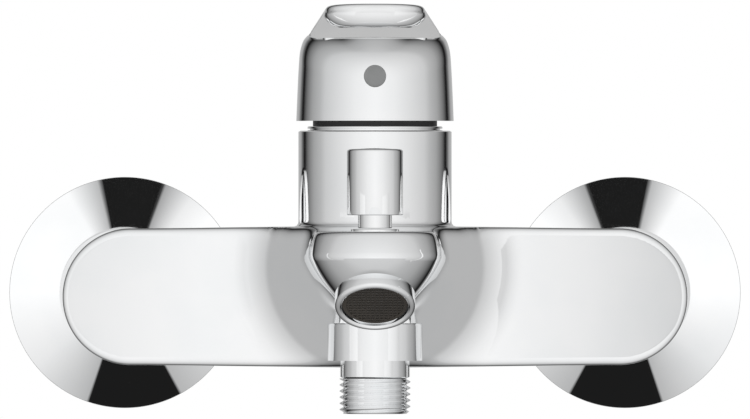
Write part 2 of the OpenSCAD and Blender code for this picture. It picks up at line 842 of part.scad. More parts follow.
module diverter_knob() {
    top = knob_bottom + knob_height;
    dome = 0.5;
    edge = 0.8;
    color("silver") at_diverter() difference() {
        rotate_extrude() polygon([[0, knob_bottom], [knob_r - 0.2, knob_bottom],
            [knob_r, knob_bottom + 0.3], [knob_r, top - dome - edge],
            [knob_r - edge, top - dome], [knob_r / 2, top - dome / 4], [0, top]]);
        rod(gland_neck_r + 0.3, knob_bottom - 1, knob_cavity_top);
        rod(stem_r + 0.02, knob_cavity_top - EPS, stem_top + 0.1);
    }
}

module diverter_stem() {
    head_thick = 1.5;
    head_r = stem_r + 1.5;
    color("gold") at_diverter() {
        rod(stem_r, valve_z - head_thick + EPS, stem_top);
        rod(head_r, valve_z - head_thick, valve_z - 0.02);
    }
}

module diverter_valve() {
    color("black") at_diverter() tube(valve_r, stem_r + 0.02, valve_z, valve_z + valve_thick);
}

module diverter_spring() {
    color("silver") at_diverter()
        coil_spring(coil_r, 0.4, valve_z + valve_thick, gland_bottom, 6);
}

// Shower outlet
module shower_nipple() {
    valve_top = outlet_end + valve_end_gap + valve_length;
    color("silver") at_diverter() difference() {
        union() {
            rod(seat_sleeve_r, shank_top - 1, seat_top);
            rod(shank_r, collar_bottom - 1, shank_top - 0.1);
            rod(outlet_neck_r, collar_bottom - outlet_neck, collar_bottom - 0.02);
            threaded_rod(half_inch_r, outlet_end, collar_bottom - outlet_neck);
        }
        rod(lower_seat_r, valve_top - 1, seat_top + 1);
        rod(outlet_bore_r, outlet_end - 1, valve_top + 0.1);
    }
}

// Aerator
module aerator_housing() {
    edge = 0.6;
    sleeve_bore_r = aerator_thread_r - 2.3;
    color("silver") at_aerator() rotate_extrude() polygon([
        [mesh_r, aerator_collar - 0.5], [mesh_r + 0.5, aerator_collar],
        [aerator_r - edge, aerator_collar], [aerator_r, aerator_collar - edge],
        [aerator_r, 0.1], [aerator_thread_r, 0.1], [aerator_thread_r, -aerator_sleeve],
        [sleeve_bore_r, -aerator_sleeve], [sleeve_bore_r, -1], [mesh_r, -1]]);
}

module aerator_insert() {
    pitch = 1.3;
    bar = 0.35;
    cells = 6;
    lip = 1.2;
    tail_r = aerator_thread_r - 2.4;
    front = aerator_collar - 1.2;
    color([0.12, 0.12, 0.12]) at_aerator() {
        tube(mesh_r - 0.1, mesh_r - 0.1 - lip, -0.98, front);
        tube(tail_r, tail_r - 1.5, -3.6, -0.97);
        translate([0, 0, front - 1]) linear_extrude(0.6) difference() {
            circle(mesh_r - 0.1 - lip + EPS);
            for (i = [-cells : cells], j = [-cells : cells])
                if (norm([i, j]) * pitch < mesh_r - lip - pitch * 0.8)
                    translate([i * pitch, j * pitch]) square(pitch - bar, center = true);
        }
    }
}

module aerator_seal() {
    color("black") at_aerator()
        tube(aerator_thread_r - 0.1, aerator_thread_r - 2.2, -aerator_socket + 0.02, -aerator_sleeve - 0.02);
}

body();
rosette(-1);  // rosette_left
rosette(1);  // rosette_right
wall_union(-1);  // union_left
wall_union(1);  // union_right
union_nut(-1);  // union_nut_left
union_nut(1);  // union_nut_right
inlet_washer(-1);  // inlet_washer_left
inlet_washer(1);  // inlet_washer_right
retaining_ring(-1);  // retaining_ring_left
retaining_ring(1);  // retaining_ring_right
inlet_valve_place(-1) check_housing(inlet_valve_r);  // check_housing_left
inlet_valve_place(1) check_housing(inlet_valve_r);  // check_housing_right
inlet_valve_place(-1) check_poppet(inlet_valve_r);  // check_poppet_left
inlet_valve_place(1) check_poppet(inlet_valve_r);  // check_poppet_right
inlet_valve_place(-1) check_spring();  // check_spring_left
inlet_valve_place(1) check_spring();  // check_spring_right
cartridge_base();
cartridge_seals();
fixed_ceramic_disc();
moving_ceramic_disc();
disc_driver();
cartridge_housing();
cartridge_turret();
pivot_pin();
lever_spindle();
cartridge_nut();
cover_ring();
limiter_ring();
lever();
lever_grub_screw();
indicator_plug();
diverter_gland();
diverter_oring();
diverter_knob();
diverter_stem();
diverter_valve();
diverter_spring();
shower_nipple();
at_outlet_valve() check_housing(outlet_valve_r);  // outlet_check_housing
at_outlet_valve() check_poppet(outlet_valve_r);  // outlet_check_poppet
at_outlet_valve() check_spring();  // outlet_check_spring
aerator_housing();
aerator_insert();
aerator_seal();
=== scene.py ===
import math

import bpy
import numpy as np
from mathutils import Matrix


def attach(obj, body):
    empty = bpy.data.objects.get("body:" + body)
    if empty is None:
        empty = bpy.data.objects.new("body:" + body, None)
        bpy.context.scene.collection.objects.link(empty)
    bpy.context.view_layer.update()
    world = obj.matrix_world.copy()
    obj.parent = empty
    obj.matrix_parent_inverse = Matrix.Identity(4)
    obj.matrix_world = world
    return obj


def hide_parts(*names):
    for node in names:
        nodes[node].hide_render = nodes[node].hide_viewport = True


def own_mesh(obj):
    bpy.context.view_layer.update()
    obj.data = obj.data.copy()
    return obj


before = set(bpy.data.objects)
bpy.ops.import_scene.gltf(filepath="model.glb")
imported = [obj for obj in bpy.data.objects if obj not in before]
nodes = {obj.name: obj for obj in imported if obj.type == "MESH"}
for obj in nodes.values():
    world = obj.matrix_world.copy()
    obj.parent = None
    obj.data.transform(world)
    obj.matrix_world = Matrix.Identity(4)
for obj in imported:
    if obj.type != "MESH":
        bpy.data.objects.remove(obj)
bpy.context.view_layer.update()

# Eccentric wall unions
# Forged brass, left rough behind the rosettes: a half inch thread for the wall outlet, set
# 7.5 mm off the axis of the three quarter inch thread that the union nut runs on.
MM = 0.001
FRONT = math.radians(90)
INLET_X, UNION_DROP = 75.0, 7.5
WALL_THREAD_R, NUT_THREAD_R, THREAD_PITCH = 10.4775, 13.2205, 1.814
WALL_THREAD_END, UNION_FRONT = 18.0, 20.0
WALL_SHANK_R, WALL_BORE_R, FRONT_BORE_R = 9.9, 6.5, 8.5


def deselect_all():
    """Leaves edit mode and selects nothing."""
    if bpy.context.object and bpy.context.object.mode != "OBJECT":
        bpy.ops.object.mode_set(mode="OBJECT")
    bpy.ops.object.select_all(action="DESELECT")


def take(piece):
    """Selects one piece alone, for the operators that follow."""
    deselect_all()
    piece.select_set(True)
    bpy.context.view_layer.objects.active = piece


def set_in_place(piece, name):
    """Gives the piece its name and puts its place into its mesh."""
    take(piece)
    bpy.ops.object.transform_apply(location=True, rotation=True, scale=True)
    piece.name = name
    piece.data.name = name
    return piece


def apply_modifier(piece, kind, **settings):
    take(piece)
    modifier = piece.modifiers.new(kind.title(), kind)
    for key, value in settings.items():
        setattr(modifier, key, value)
    bpy.ops.object.modifier_apply(modifier=modifier.name)


def machine(piece, cutter, operation="DIFFERENCE"):
    """Bores, faces or adds with another closed shape, which is used up."""
    set_in_place(cutter, "cutter")
    apply_modifier(piece, "BOOLEAN", operation=operation, object=cutter, solver="MANIFOLD")
    bpy.data.objects.remove(cutter, do_unlink=True)


def saw(piece, point, normal):
    """Cuts the piece with a plane, keeps what lies behind it and closes the cut."""
    take(piece)
    bpy.ops.object.mode_set(mode="EDIT")
    bpy.ops.mesh.select_all(action="SELECT")
    bpy.ops.mesh.bisect(plane_co=[c * MM for c in point], plane_no=normal, use_fill=True,
                        clear_outer=True, threshold=1e-7)
    bpy.ops.object.mode_set(mode="OBJECT")


def smooth_by_angle(piece, degrees=30):
    take(piece)
    bpy.ops.object.shade_smooth_by_angle(angle=math.radians(degrees))


def rod_between(radius, start, end, vertices=96):
    """A round bar between two points in millimetres."""
    deselect_all()
    a, b = np.array(start, float), np.array(end, float)
    run = b - a
    length = float(np.linalg.norm(run))
    lean = (0, math.acos(run[2] / length), math.atan2(run[1], run[0]))
    bpy.ops.mesh.primitive_cylinder_add(vertices=vertices, radius=radius * MM, depth=length * MM,
                                        location=(a + b) / 2 * MM, rotation=lean)
    return bpy.context.object


def drawn_line(points):
    """An open line of (radius, height) points, pulled out of one corner point by point."""
    deselect_all()
    bpy.ops.mesh.primitive_plane_add(size=0.01)
    bpy.ops.object.mode_set(mode="EDIT")
    bpy.ops.mesh.merge(type="CENTER")
    spot = (0.0, 0.0)
    for i, (radius, height) in enumerate(points):
        step = ((radius - spot[0]) * MM, 0, (height - spot[1]) * MM)
        if i == 0:
            bpy.ops.transform.translate(value=step)
        else:
            bpy.ops.mesh.extrude_region_move(TRANSFORM_OT_translate={"value": step})
        spot = (radius, height)
    bpy.ops.mesh.select_all(action="SELECT")
    return bpy.context.object


def turned(profile, name, steps=128, place=(0, 0, 0), lean=0.0):
    """Turns a profile of (radius, height) points about Z, then leans it about X."""
    meets_axis = profile[0][0] == 0 and profile[-1][0] == 0
    piece = drawn_line(list(profile) if meets_axis else list(profile) + [profile[0]])
    bpy.ops.mesh.spin(steps=steps, angle=2 * math.pi, center=(0, 0, 0), axis=(0, 0, 1))
    bpy.ops.mesh.select_all(action="SELECT")
    bpy.ops.mesh.remove_doubles(threshold=0.004 * MM)
    bpy.ops.mesh.dissolve_degenerate(threshold=0.002 * MM)
    bpy.ops.mesh.select_all(action="SELECT")
    bpy.ops.mesh.normals_make_consistent(inside=False)
    bpy.ops.object.mode_set(mode="OBJECT")
    piece.rotation_euler = (lean, 0, 0)
    piece.location = [c * MM for c in place]
    return set_in_place(piece, name)


def threaded_bar(crest_r, low, high, steps=72):
    """A bar with a right-hand pipe thread from one height to another."""
    p, root_r = THREAD_PITCH, crest_r - 0.64 * THREAD_PITCH
    turns = math.ceil((high - low) / p) + 2
    tooth = [(root_r, 0), (root_r + 0.1, 0.11 * p), (crest_r - 0.12, 0.4 * p), (crest_r, 0.46 * p),
             (crest_r, 0.54 * p), (crest_r - 0.12, 0.6 * p), (root_r + 0.1, 0.89 * p), (root_r, p)]
    bar = drawn_line([(r, z + low - 1.3 * p) for r, z in tooth])
    bpy.ops.object.mode_set(mode="OBJECT")
    apply_modifier(bar, "SCREW", angle=2 * math.pi, screw_offset=p * MM, iterations=turns,
                   steps=steps, render_steps=steps)
    take(bar)
    bpy.ops.object.mode_set(mode="EDIT")
    bpy.ops.mesh.select_all(action="SELECT")
    bpy.ops.mesh.remove_doubles(threshold=0.004 * MM)
    bpy.ops.object.mode_set(mode="OBJECT")
    saw(bar, (0, 0, high), (0, 0, 1))
    saw(bar, (0, 0, low), (0, 0, -1))
    take(bar)
    bpy.ops.object.mode_set(mode="EDIT")
    bpy.ops.mesh.select_all(action="SELECT")
    bpy.ops.mesh.normals_make_consistent(inside=False)
    bpy.ops.object.mode_set(mode="OBJECT")
    return bar


def cast_metal(name, dark, light, haze, grain=300, dents=0.15):
    """Bare metal with a clouded tone, a grain in its gloss and a fine uneven surface."""
    material = bpy.data.materials.new(name)
    material.use_nodes = True
    tree = material.node_tree
    shader = tree.nodes["Principled BSDF"]
    shader.inputs["Metallic"].default_value = 1.0
    place = tree.nodes.new("ShaderNodeTexCoord")
    cloud = tree.nodes.new("ShaderNodeTexNoise")
    cloud.inputs["Scale"].default_value = 55
    cloud.inputs["Detail"].default_value = 5
    tint = tree.nodes.new("ShaderNodeValToRGB")
    tint.color_ramp.elements[0].color = (*dark, 1)
    tint.color_ramp.elements[1].color = (*light, 1)
    tint.color_ramp.elements[0].position = 0.3
    tint.color_ramp.elements[1].position = 0.68
    speckle = tree.nodes.new("ShaderNodeTexNoise")
    speckle.inputs["Scale"].default_value = grain
    speckle.inputs["Detail"].default_value = 6
    rough = tree.nodes.new("ShaderNodeMapRange")
    rough.inputs["To Min"].default_value = haze
    rough.inputs["To Max"].default_value = haze + 0.22
    bump = tree.nodes.new("ShaderNodeBump")
    bump.inputs["Strength"].default_value = dents
    bump.inputs["Distance"].default_value = 0.0003
    tree.links.new(place.outputs["Object"], cloud.inputs["Vector"])
    tree.links.new(place.outputs["Object"], speckle.inputs["Vector"])
    tree.links.new(cloud.outputs["Fac"], tint.inputs["Fac"])
    tree.links.new(tint.outputs["Color"], shader.inputs["Base Color"])
    tree.links.new(speckle.outputs["Fac"], rough.inputs["Value"])
    tree.links.new(rough.outputs["Result"], shader.inputs["Roughness"])
    tree.links.new(speckle.outputs["Fac"], bump.inputs["Height"])
    tree.links.new(bump.outputs["Normal"], shader.inputs["Normal"])
    return material


def finish_piece(piece, material, body_name, slot, *replaced):
    piece.data.materials.clear()
    piece.data.materials.append(material)
    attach(piece, body_name)
    if replaced:
        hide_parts(*replaced)


def coat(material, *names):
    """Gives parts that keep their machined shape their real finish."""
    for name in names:
        mesh = nodes[name].data
        mesh.materials.clear()
        mesh.materials.append(material)


raw_brass = cast_metal("raw brass", (0.5, 0.34, 0.13), (0.74, 0.56, 0.27), 0.24)
for side, label in ((-1, "left"), (1, "right")):
    x = side * INLET_X
    union = threaded_bar(WALL_THREAD_R, -WALL_THREAD_END, -1.0)
    union.rotation_euler = (FRONT, 0, 0)
    union.location = (x * MM, 0, -UNION_DROP * MM)
    set_in_place(union, "wall_union_" + label)
    machine(union, rod_between(WALL_SHANK_R, (x, 1.2, -UNION_DROP), (x, -4, -UNION_DROP), 72), "UNION")
    machine(union, rod_between(NUT_THREAD_R, (x, -0.5, 0), (x, -13.3, 0), 96), "UNION")
    nose = threaded_bar(NUT_THREAD_R, 13.0, UNION_FRONT)
    nose.rotation_euler = (FRONT, 0, 0)
    nose.location = (x * MM, 0, 0)
    machine(union, nose, "UNION")
    machine(union, rod_between(WALL_BORE_R, (x, 20, -UNION_DROP), (x, -3, -UNION_DROP), 64))
    machine(union, rod_between(FRONT_BORE_R, (x, -1, 0), (x, -25, 0), 64))
    smooth_by_angle(union, 35)
    finish_piece(union, raw_brass, "mixer", "rough_brass", "union_" + label)

# Rosettes
# Cones spun from thin brass sheet and chrome plated, each with a sleeve that screws onto its
# union until the rim meets the tiles.
ROSETTE_R, ROSETTE_DEPTH, ROSETTE_SHEET, ROSETTE_FRONT_R = 34.65, 13.2, 1.2, 18.2
SLEEVE_BORE_R, SLEEVE_R = 13.33, 14.6


def rounded(corner, before, after, radius, steps=4):
    """Points of a small arc that takes the place of a profile's corner."""
    c, a, b = (np.array(q, float) for q in (corner, before, after))
    u, v = (a - c) / np.linalg.norm(a - c), (b - c) / np.linalg.norm(b - c)
    half = math.acos(float(np.clip(u @ v, -1, 1))) / 2
    reach = radius / math.tan(half)
    middle = c + (u + v) / np.linalg.norm(u + v) * radius / math.sin(half)
    start, end = c + u * reach - middle, c + v * reach - middle
    points = []
    for i in range(steps + 1):
        mix = start * (1 - i / steps) + end * i / steps
        points.append(tuple(middle + mix / np.linalg.norm(mix) * radius))
    return points


def round_off(profile, radii):
    """The profile with each corner that has a radius turned into an arc."""
    points = []
    for i, corner in enumerate(profile):
        if radii.get(i):
            points += rounded(corner, profile[i - 1], profile[(i + 1) % len(profile)], radii[i])
        else:
            points.append(corner)
    return points


def chrome_plating(name, haze=0.03):
    """Bright chrome over polished brass: faint waves of hand polishing, thin haze and fine lines."""
    material = bpy.data.materials.new(name)
    material.use_nodes = True
    tree = material.node_tree
    shader = tree.nodes["Principled BSDF"]
    shader.inputs["Metallic"].default_value = 1.0
    place = tree.nodes.new("ShaderNodeTexCoord")
    cloud = tree.nodes.new("ShaderNodeTexNoise")
    cloud.inputs["Scale"].default_value = 38
    cloud.inputs["Detail"].default_value = 4
    tint = tree.nodes.new("ShaderNodeValToRGB")
    tint.color_ramp.elements[0].color = (0.895, 0.91, 0.92, 1)
    tint.color_ramp.elements[1].color = (0.945, 0.95, 0.955, 1)
    tint.color_ramp.elements[0].position = 0.25
    tint.color_ramp.elements[1].position = 0.6
    grain = tree.nodes.new("ShaderNodeTexNoise")
    grain.inputs["Scale"].default_value = 420
    grain.inputs["Detail"].default_value = 6
    rough = tree.nodes.new("ShaderNodeMapRange")
    rough.inputs["To Min"].default_value = haze
    rough.inputs["To Max"].default_value = haze + 0.04
    bump = tree.nodes.new("ShaderNodeBump")
    bump.inputs["Strength"].default_value = 0.02
    bump.inputs["Distance"].default_value = 0.0001
    tree.links.new(place.outputs["Object"], cloud.inputs["Vector"])
    tree.links.new(place.outputs["Object"], grain.inputs["Vector"])
    tree.links.new(cloud.outputs["Fac"], tint.inputs["Fac"])
    tree.links.new(tint.outputs["Color"], shader.inputs["Base Color"])
    tree.links.new(grain.outputs["Fac"], rough.inputs["Value"])
    tree.links.new(rough.outputs["Result"], shader.inputs["Roughness"])
    tree.links.new(grain.outputs["Fac"], bump.inputs["Height"])
    tree.links.new(bump.outputs["Normal"], shader.inputs["Normal"])
    return material


rosette_chrome = chrome_plating("rosette chrome")
rosette_profile = round_off(
    [(ROSETTE_R, 0), (ROSETTE_R, 0.8), (ROSETTE_FRONT_R, ROSETTE_DEPTH),
     (SLEEVE_BORE_R, ROSETTE_DEPTH), (SLEEVE_BORE_R, 5), (SLEEVE_R, 5),
     (SLEEVE_R, ROSETTE_DEPTH - ROSETTE_SHEET), (ROSETTE_FRONT_R - 0.6, ROSETTE_DEPTH - ROSETTE_SHEET),
     (ROSETTE_R - 2 * ROSETTE_SHEET, 0)], {1: 0.4, 2: 0.7})
for side, label in ((-1, "left"), (1, "right")):
    rosette = turned(rosette_profile, "wall_rosette_" + label, 192, (side * INLET_X, 0, 0), FRONT)
    smooth_by_angle(rosette, 25)
    finish_piece(rosette, rosette_chrome, "mixer", "chrome", "rosette_" + label)

# Union nuts
# Hexagon brass bar, 30 mm across the flats, turned, chamfered and chrome plated. Each pulls
# the body onto its union over a flat washer.
NUT_FLATS, NUT_BACK, NUT_FRONT, NUT_LIP = 30.0, 13.4, 27.8, 24.6
NUT_BORE_R, LIP_BORE_R, CHAMFER_IN, CHAMFER_ALONG = 13.33, 11.2, 2.3, 1.2

nut_chrome = chrome_plating("nut chrome", 0.05)
corner_r = NUT_FLATS / 2 / math.cos(math.radians(30))
nut_turning = [(0, NUT_BACK), (corner_r - CHAMFER_IN, NUT_BACK), (corner_r, NUT_BACK + CHAMFER_ALONG),
               (corner_r, NUT_FRONT - CHAMFER_ALONG), (corner_r - CHAMFER_IN, NUT_FRONT),
               (0, NUT_FRONT)]
for side, label in ((-1, "left"), (1, "right")):
    x = side * INLET_X
    nut = rod_between(corner_r, (x, -NUT_BACK, 0), (x, -NUT_FRONT, 0), 6)
    nut.name = "union_nut"
    take(nut)
    bpy.ops.object.transform_apply(location=True, rotation=True, scale=True)
    bpy.ops.object.mode_set(mode="EDIT")
    bpy.ops.mesh.select_all(action="SELECT")
    bpy.ops.transform.rotate(value=math.radians(30), orient_axis="Y", center_override=(x * MM, 0, 0))
    bpy.ops.object.mode_set(mode="OBJECT")
    set_in_place(nut, "hex_union_nut_" + label)
    machine(nut, turned(nut_turning, "chamfer", 96, (x, 0, 0), FRONT), "INTERSECT")
    machine(nut, rod_between(NUT_BORE_R, (x, -NUT_BACK + 2, 0), (x, -NUT_LIP, 0), 96))
    machine(nut, rod_between(LIP_BORE_R, (x, -NUT_LIP + 1, 0), (x, -NUT_FRONT - 2, 0), 96))
    apply_modifier(nut, "BEVEL", width=0.18 * MM, segments=2, limit_method="ANGLE",
                   angle_limit=math.radians(28))
    smooth_by_angle(nut, 25)
    finish_piece(nut, nut_chrome, "mixer", "chrome", "union_nut_" + label)


def moulded(name, dark, light, gloss, grain=350, sheen=0.45, dents=0.12):
    """Moulded plastic, rubber or fired ceramic: a slightly clouded tone and a fine skin."""
    material = cast_metal(name, dark, light, gloss, grain, dents)
    shader = material.node_tree.nodes["Principled BSDF"]
    shader.inputs["Metallic"].default_value = 0.0
    shader.inputs["Specular IOR Level"].default_value = sheen
    return material


black_rubber = moulded("black rubber", (0.012, 0.012, 0.012), (0.03, 0.03, 0.03), 0.55, 500, 0.3)
spring_steel = cast_metal("spring steel", (0.42, 0.42, 0.43), (0.62, 0.62, 0.63), 0.18, 600, 0.05)
milky_plastic = moulded("milky plastic", (0.74, 0.74, 0.7), (0.86, 0.86, 0.83), 0.36)
black_plastic = moulded("black plastic", (0.010, 0.010, 0.011), (0.022, 0.022, 0.023), 0.34)


def squeeze_spring(name):
    """Gives a wire spring a mesh of its own."""
    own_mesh(nodes[name])


for label in ("left", "right"):
    coat(black_rubber, "inlet_washer_" + label)
    coat(spring_steel, "retaining_ring_" + label, "check_spring_" + label)
    coat(milky_plastic, "check_housing_" + label)
    coat(black_plastic, "check_poppet_" + label)
    squeeze_spring("check_spring_" + label)

# Body casting
# One brass sand casting, ground, polished and chrome plated: a bar of two wings, a domed
# shoulder round the cartridge drum, the flat spout and the collar of the shower outlet,
# which run into each other with cast fillets.
WALL_TO_WINGS, WING_FRONT = 33.0, 60.0
WING_END_X, WING_R, WING_SWELL, WING_Z = 72.6, 20.3, 0.83, -1.0
DRUM_Y, DRUM_R, DRUM_TOP = 57.0, 22.75, 48.3
SHOULDER_Z, SHOULDER_R, SHOULDER_Y, SHOULDER_SLOPE = 8.0, 27.6, 69.0, 45.8
SPOUT_NOSE, SPOUT_TOP, NOSE_Z, HALF_SPOUT, NOSE_R = 165.0, 18.4, 10.9, 18.8, 20.1
NOSE_TILT = math.radians(35)
AERATOR_Y, AERATOR_Z, AERATOR_BORE_R = 151.8, -0.3, 11.0
OUTLET_Y, COLLAR_R, COLLAR_END = 93.0, 14.0, -19.7
BOSS_R, SPIGOT_R, VALVE_BORE_R, INLET_BORE_R = 19.0, 11.05, 8.8, 7.2
CARTRIDGE_BORE_R, CLAMP_BORE_R, DRUM_CHAMFER = 17.7, 20.2, 0.65
NIPPLE_BORE_R, OUTLET_BORE_R, GLAND_BORE_R = 10.1, 8.6, 7.05
BLEND_SHOULDER, BLEND_COLLAR, BLEND_SPOUT, BLEND_DRUM = 5.0, 6.0, 3.0, 1.6


def rough_block(low, high):
    """A sawn block between two corners in millimetres."""
    deselect_all()
    middle = [(a + b) / 2 * MM for a, b in zip(low, high)]
    bpy.ops.mesh.primitive_cube_add(size=1, location=middle,
                                    scale=[(b - a) * MM for a, b in zip(low, high)])
    return bpy.context.object


def join(pieces, name):
    """Makes one mesh of several blanks, still overlapping."""
    take(pieces[0])
    for piece in pieces:
        piece.select_set(True)
    bpy.ops.object.join()
    return set_in_place(bpy.context.object, name)


def blend_min(a, b, width):
    """The union of two shapes, given as distances, with a fillet of about this width."""
    overlap = np.maximum(width - np.abs(a - b), 0) / width
    return np.minimum(a, b) - overlap ** 2 * width / 4


def blend_max(a, b, width):
    """What two shapes share, with its edge rounded over about this width."""
    return -blend_min(-a, -b, width)


def draw_onto(piece, distance, rounds):
    """Relaxes a remeshed blank and draws each point onto the smooth surface distance = 0."""
    mesh = piece.data
    count = len(mesh.vertices)
    points = np.empty(count * 3)
    mesh.vertices.foreach_get("co", points)
    points = points.reshape(-1, 3) / MM
    edges = np.empty(len(mesh.edges) * 2, int)
    mesh.edges.foreach_get("vertices", edges)
    a, b = edges.reshape(-1, 2).T
    degree = np.bincount(np.concatenate([a, b]), minlength=count)[:, None]
    step = 0.02
    for turn in range(rounds):
        if turn < rounds - 1:
            total = np.zeros_like(points)
            for axis in range(3):
                total[:, axis] = (np.bincount(a, points[b, axis], count)
                                  + np.bincount(b, points[a, axis], count))
            points = points * 0.4 + total / degree * 0.6
        for _ in range(3):
            slope = np.empty_like(points)
            for axis in range(3):
                shift = np.zeros(3)
                shift[axis] = step
                slope[:, axis] = (distance(points + shift) - distance(points - shift)) / (2 * step)
            size = np.maximum((slope ** 2).sum(1, keepdims=True), 0.25)
            move = distance(points)[:, None] * slope / size
            points -= np.clip(move, -1.5, 1.5)
    mesh.vertices.foreach_set("co", (points * MM).ravel())
    mesh.update()


def wings_and_shoulder(p):
    """The slightly crowned bar with round ends, and the cone that swells from its face."""
    x, y, z = np.abs(p[:, 0]), p[:, 1], p[:, 2]
    crown = (x / 92) ** 2
    front = -(y + WING_FRONT - crown)
    reach = np.hypot(x, z - SHOULDER_Z) - SHOULDER_R
    ahead = -y - SHOULDER_Y
    slope = math.radians(SHOULDER_SLOPE)
    cone = reach * math.sin(slope) + ahead * math.cos(slope)
    shoulder = blend_max(cone, -y - 83, 4.5)
    face = blend_min(front, shoulder, BLEND_SHOULDER)
    half_height = WING_R + WING_SWELL * (1 - np.clip(x / 68, 0, 1))
    outline = np.hypot(np.maximum(x - WING_END_X, 0), z - WING_Z) - half_height
    proud = np.clip((-WING_FRONT - y) / 8, 0, 1)
    edge = 2.1 + 1.5 * proud * proud * (3 - 2 * proud)
    block = blend_max(face, outline, edge)
    return blend_max(block, y + WALL_TO_WINGS, 1.5)


def spout_distance(p):
    """Flat on top, round at the nose, with sides that lean in towards the aerator's seat."""
    x, y, z = np.abs(p[:, 0]), -p[:, 1], p[:, 2]
    up, fall = np.maximum(z - NOSE_Z, 0), np.maximum(NOSE_Z - z, 0)
    narrowing = 0.022 * up ** 2 + 0.38 * fall + 0.022 * fall ** 2
    centre = SPOUT_NOSE - NOSE_R - 0.25 * up - 0.3 * fall
    arc = np.hypot(x, np.maximum(y - centre, 0)) - NOSE_R + narrowing
    wall = blend_max(arc, x - HALF_SPOUT + narrowing, 1.0) * np.where(z > NOSE_Z, 0.95, 0.8)
    seat = (y - AERATOR_Y) * math.sin(NOSE_TILT) - (z - AERATOR_Z) * math.cos(NOSE_TILT)
    ends = blend_max(z - SPOUT_TOP, wall, 0.9)
    ends = blend_max(ends, -6.9 - z, 3.0)
    ends = blend_max(ends, seat, 0.3)
    return np.maximum(ends, 62 - y)


def drum_distance(p):
    radial = np.hypot(p[:, 0], p[:, 1] + DRUM_Y) - DRUM_R
    return np.maximum(radial, np.maximum(p[:, 2] - 52, 2 - p[:, 2]))


def collar_distance(p):
    radial = np.hypot(p[:, 0], p[:, 1] + OUTLET_Y) - COLLAR_R
    return np.maximum(blend_max(radial, p[:, 2] + 8.6, 0.6), -23 - p[:, 2])


def body_distance(p):
    shape = blend_min(wings_and_shoulder(p), collar_distance(p), BLEND_COLLAR)
    shape = blend_min(shape, spout_distance(p), BLEND_SPOUT)
    return blend_min(shape, drum_distance(p), BLEND_DRUM)


wing_bars = [rough_block((-WING_END_X, -WING_FRONT, -21.5), (WING_END_X, -WALL_TO_WINGS, 19.5))]
for side in (-1, 1):
    wing_bars.append(rod_between(WING_R, (side * WING_END_X, -WING_FRONT, WING_Z),
                                 (side * WING_END_X, -WALL_TO_WINGS, WING_Z)))
shoulder_blank = rod_between(28, (0, -64, SHOULDER_Z - 2), (0, -50, SHOULDER_Z - 2))
shoulder_front = rod_between(17, (0, -79, SHOULDER_Z), (0, -60, SHOULDER_Z))
drum_blank = rod_between(DRUM_R, (0, -DRUM_Y, 4), (0, -DRUM_Y, 52))
spout_blank = rough_block((-17, -150, -5), (17, -62, 17.5))
nose_blank = rod_between(HALF_SPOUT - 0.7, (0, HALF_SPOUT - SPOUT_NOSE, 8.5),
                         (0, HALF_SPOUT - SPOUT_NOSE, 17.5))
collar_blank = rod_between(COLLAR_R, (0, -OUTLET_Y, -23), (0, -OUTLET_Y, 2))
body = join(wing_bars + [shoulder_blank, shoulder_front, drum_blank, spout_blank, nose_blank,
                         collar_blank], "body_casting")
apply_modifier(body, "REMESH", mode="VOXEL", voxel_size=0.8 * MM)
draw_onto(body, body_distance, 9)
saw(body, (0, 0, DRUM_TOP), (0, 0, 1))

# bosses and spigots behind the wings, then the bores that the other pieces fit
for side in (-1, 1):
    x = side * INLET_X
    machine(body, rod_between(BOSS_R, (x, -34, 0), (x, -28, 0), 160), "UNION")
    machine(body, rod_between(SPIGOT_R, (x, -29, 0), (x, -22, 0)), "UNION")
    machine(body, rod_between(VALVE_BORE_R, (x, -38.2, 0), (x, -21, 0)))
    machine(body, rod_between(INLET_BORE_R, (x, -41.0, 0), (x, -37, 0)))
machine(body, rod_between(CARTRIDGE_BORE_R, (0, -DRUM_Y, 13), (0, -DRUM_Y, 40), 128))
machine(body, rod_between(CLAMP_BORE_R, (0, -DRUM_Y, 38), (0, -DRUM_Y, 50), 160))
drum_chamfer = [(DRUM_R - 0.7, DRUM_TOP + 0.02), (DRUM_R + 0.65, DRUM_TOP + 0.02 - DRUM_CHAMFER),
                (DRUM_R + 0.65, DRUM_TOP + 0.6), (DRUM_R - 0.7, DRUM_TOP + 0.6)]
machine(body, turned(drum_chamfer, "drum_chamfer", 192, (0, -DRUM_Y, 0)))
machine(body, rod_between(COLLAR_R + 4, (0, -OUTLET_Y, -30), (0, -OUTLET_Y, COLLAR_END), 128))
machine(body, rod_between(NIPPLE_BORE_R, (0, -OUTLET_Y, -30), (0, -OUTLET_Y, -10.3)))
machine(body, rod_between(OUTLET_BORE_R, (0, -OUTLET_Y, -12), (0, -OUTLET_Y, 6.4)))
machine(body, rod_between(GLAND_BORE_R, (0, -OUTLET_Y, 5), (0, -OUTLET_Y, 30)))
down = np.array([0, -math.sin(NOSE_TILT), -math.cos(NOSE_TILT)])
aerator_base = np.array([0, -AERATOR_Y, AERATOR_Z])
machine(body, rod_between(AERATOR_BORE_R, aerator_base - 4.7 * down, aerator_base + 3 * down))
smooth_by_angle(body, 32)
body_chrome = chrome_plating("body chrome")
finish_piece(body, body_chrome, "mixer", "chrome", "body")

# Shower outlet
# A turned and chromed brass nipple, glued into the collar under the spout, with a half inch
# pipe thread for the hose. A plastic check valve with a black poppet sits in its bore.
COLLAR_GAP, NIPPLE_NECK_R, NECK_END, NIPPLE_END = -19.72, 10.2775, -25.0, -35.4
SHANK_R, SHANK_SHOULDER, SHANK_TIP_R, SHANK_TOP = 10.0, -10.4, 8.4, -4.05

